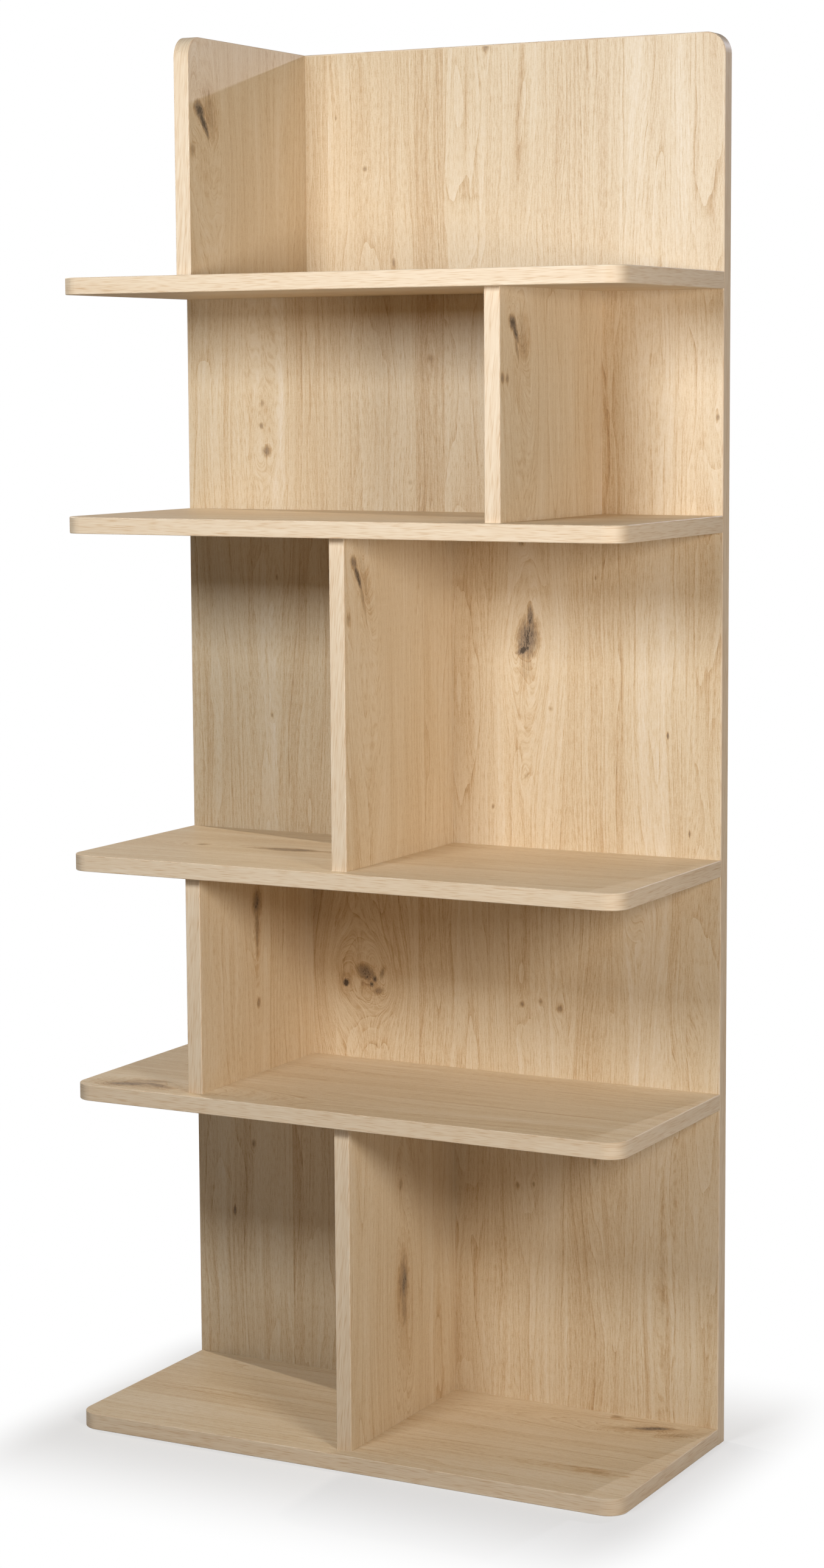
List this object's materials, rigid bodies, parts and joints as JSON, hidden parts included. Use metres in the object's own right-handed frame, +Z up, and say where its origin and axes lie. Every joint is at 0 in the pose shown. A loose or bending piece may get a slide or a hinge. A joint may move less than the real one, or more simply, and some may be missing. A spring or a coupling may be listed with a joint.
{
  "type": "open bookcase",
  "caption": "Tall open bookcase: full-width shelves with rounded front corners stand out from one upright back panel, with single dividers that step from side to side.",
  "frame": {"origin": "on the floor, at the centre of the footprint", "axes": "+Z up, -Y towards the open front, +Y towards the wall, +X to the right seen from the front"},
  "size_m": [0.85, 0.36, 1.95],
  "materials": {
    "oak_faced_board": "matt pale oak facing with fine pores, on chipboard",
    "oak_edge_strip": "matt pale oak edging with straight grain",
    "zinc_plated_steel": "bright zinc plate",
    "beech_dowel": "plain fluted beech"
  },
  "bodies": {
    "root": {"back_panel": "oak_faced_board", "base_shelf": "oak_faced_board", "second_shelf": "oak_faced_board", "third_shelf": "oak_faced_board", "fourth_shelf": "oak_faced_board", "top_shelf": "oak_faced_board", "bottom_bay_divider": "oak_faced_board", "second_bay_divider": "oak_faced_board", "third_bay_divider": "oak_faced_board", "fourth_bay_divider": "oak_faced_board", "top_divider": "oak_faced_board", "back_panel_edge_strip": "oak_edge_strip", "base_shelf_edge_strip": "oak_edge_strip", "second_shelf_edge_strip": "oak_edge_strip", "third_shelf_edge_strip": "oak_edge_strip", "fourth_shelf_edge_strip": "oak_edge_strip", "top_shelf_edge_strip": "oak_edge_strip", "bottom_bay_divider_edge_strip": "oak_edge_strip", "second_bay_divider_edge_strip": "oak_edge_strip", "third_bay_divider_edge_strip": "oak_edge_strip", "fourth_bay_divider_edge_strip": "oak_edge_strip", "top_divider_edge_strip": "oak_edge_strip", "shelf_screws": "zinc_plated_steel", "divider_screws": "zinc_plated_steel", "divider_dowels": "beech_dowel"}
  },
  "joints": []
}
